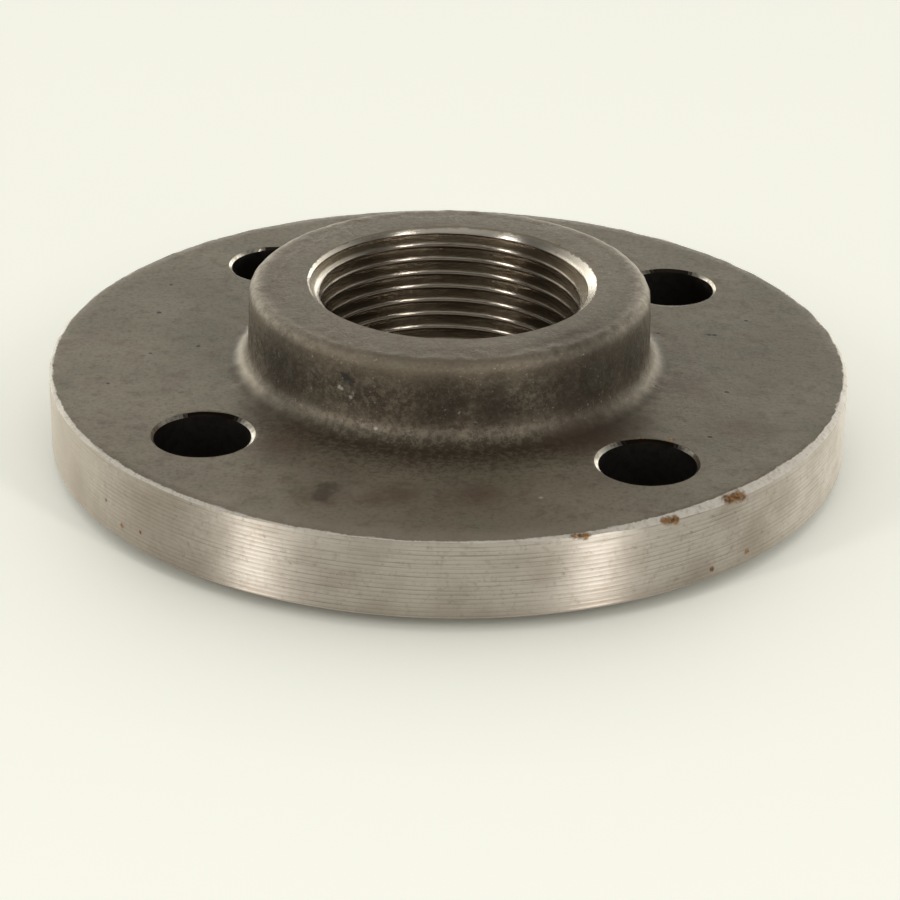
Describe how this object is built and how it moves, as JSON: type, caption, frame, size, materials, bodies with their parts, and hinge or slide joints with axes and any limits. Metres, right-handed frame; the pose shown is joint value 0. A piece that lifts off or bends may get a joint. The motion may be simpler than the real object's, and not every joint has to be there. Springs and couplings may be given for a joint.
{
  "type": "threaded flange",
  "caption": "Round steel pipe flange with a short threaded hub, a raised sealing face and bolt holes, for joining a screwed pipe end to a matching flange.",
  "frame": {"origin": "centre of the raised sealing face, in its plane", "axes": "+Z along the pipe axis, from the sealing face towards the hub; the bolt holes stand astride the X and Y axes"},
  "size_m": [0.12, 0.12, 0.0265],
  "materials": {
    "flange": "forged steel with dark mill scale on the hub and the bolting face; the rim, the bore and the sealing face are bright turned metal with light rust at the edges"
  },
  "bodies": {
    "root": {"flange": "flange"}
  },
  "joints": []
}
